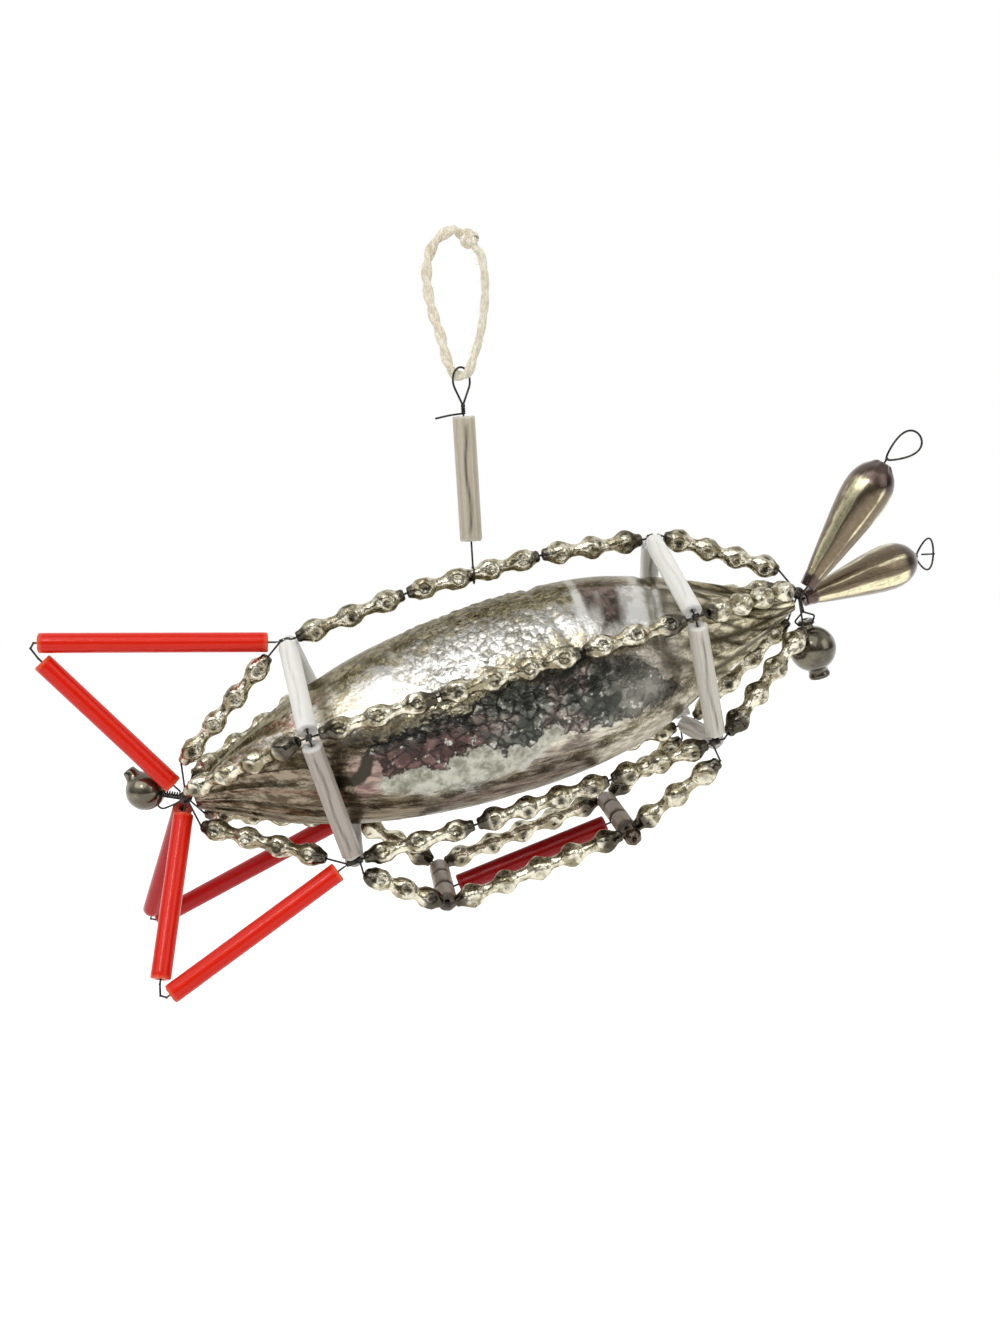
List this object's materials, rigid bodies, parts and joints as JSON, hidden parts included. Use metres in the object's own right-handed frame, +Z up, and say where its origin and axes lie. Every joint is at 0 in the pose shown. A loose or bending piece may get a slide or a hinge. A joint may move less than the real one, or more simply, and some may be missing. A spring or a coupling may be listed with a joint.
{
  "type": "airship christmas ornament",
  "caption": "Hanging glass airship ornament: a silvered spindle in a cage of wired beads and tubes, with tail fins, a gondola and propeller blades at the nose.",
  "frame": {"origin": "inside top of the cotton loop, where the ornament hangs on a branch or hook", "axes": "+X toward the nose, -Y toward the near side, +Z up; millimetre model, stored in metres"},
  "size_m": [0.1954, 0.0514, 0.1468],
  "materials": {
    "silvered_glass": "silvered inside, with a fine hammered surface, tarnished green-black along the lower side and pale olive toward both ends",
    "blade_glass": "silvered inside, with rubbed silver and brown stains",
    "smoky_glass": "dark silvered glass, glossy",
    "champagne_beads": "silvered inside, champagne grey, worn dark at the ends",
    "milky_tubes": "milky white satin glass",
    "red_tubes": "opaque vermilion glass, glossy",
    "dark_red_tube": "opaque dark red glass, glossy",
    "matt_beads": "satin brown-grey glass",
    "beige_tube": "satin beige-grey glass",
    "binding_wire": "dull dark tinned wire",
    "cotton": "cream twisted cotton"
  },
  "bodies": {
    "string": {"string": "cotton", "string_knot": "cotton"},
    "hanger": {"hanger_wire": "binding_wire"},
    "hanger_tube": {"hanger_tube": "beige_tube"},
    "ship": {"envelope": "silvered_glass", "core_wire": "binding_wire", "strand_wires": "binding_wire", "tail_knot": "binding_wire", "nose_knot": "binding_wire", "strand_top_tail": "champagne_beads", "strand_top_middle": "champagne_beads", "strand_top_nose": "champagne_beads", "strand_near_upper_tail": "champagne_beads", "strand_near_upper_middle": "champagne_beads", "strand_near_upper_nose": "champagne_beads", "strand_near_lower_tail": "champagne_beads", "strand_near_lower_middle": "champagne_beads", "strand_near_lower_nose": "champagne_beads", "strand_far_lower_tail": "champagne_beads", "strand_far_lower_middle": "champagne_beads", "strand_far_lower_nose": "champagne_beads", "strand_far_upper_tail": "champagne_beads", "strand_far_upper_middle": "champagne_beads", "strand_far_upper_nose": "champagne_beads", "rear_tube_near_upper": "milky_tubes", "rear_tube_near_lower": "milky_tubes", "rear_tube_bottom": "milky_tubes", "rear_tube_far_lower": "milky_tubes", "rear_tube_far_upper": "milky_tubes", "rear_ring_wire": "binding_wire", "front_tube_near_upper": "milky_tubes", "front_tube_near_lower": "milky_tubes", "front_tube_bottom": "milky_tubes", "front_tube_far_lower": "milky_tubes", "front_tube_far_upper": "milky_tubes", "front_ring_wire": "binding_wire", "fin_top_long": "red_tubes", "fin_top_short": "red_tubes", "fin_top_wire": "binding_wire", "fin_near_long": "red_tubes", "fin_near_short": "red_tubes", "fin_near_wire": "binding_wire", "fin_far_long": "red_tubes", "fin_far_short": "red_tubes", "fin_far_wire": "binding_wire", "gondola_wire": "binding_wire", "gondola_rail_near": "champagne_beads", "gondola_rail_far": "champagne_beads", "gondola_riser_near_rear": "champagne_beads", "gondola_riser_near_front": "champagne_beads", "gondola_riser_far_rear": "champagne_beads", "gondola_riser_far_front": "champagne_beads", "gondola_spacers_rear": "matt_beads", "gondola_spacers_front": "matt_beads", "gondola_floor_tube": "dark_red_tube", "nose_ball": "smoky_glass", "tail_ball": "smoky_glass"},
    "blade_upper": {"blade_upper": "blade_glass"},
    "blade_lower": {"blade_lower": "blade_glass"}
  },
  "joints": [
    {"name": "swing_side", "type": "hinge", "parent": "string", "child": "hanger", "pos_m": [0, 0, -0.0269], "axis": [1, 0, 0], "range_deg": [-25, 25]},
    {"name": "hanger_tube_slide", "type": "slide", "parent": "hanger", "child": "hanger_tube", "axis": [0, 0, 1], "range_m": [-0.0025, 0]},
    {"name": "ship_pitch", "type": "hinge", "parent": "hanger", "child": "ship", "pos_m": [0, 0, -0.0669], "axis": [0, -1, 0], "range_deg": [-25, 15]},
    {"name": "blade_upper_spin", "type": "hinge", "parent": "ship", "child": "blade_upper", "pos_m": [0.07009, -0.00295, -0.07418], "axis": [0.5305, -0.0998, 0.8418], "continuous": true},
    {"name": "blade_lower_spin", "type": "hinge", "parent": "ship", "child": "blade_lower", "pos_m": [0.07067, 0.00105, -0.07734], "axis": [0.9441, 0.2595, 0.2033], "continuous": true}
  ]
}
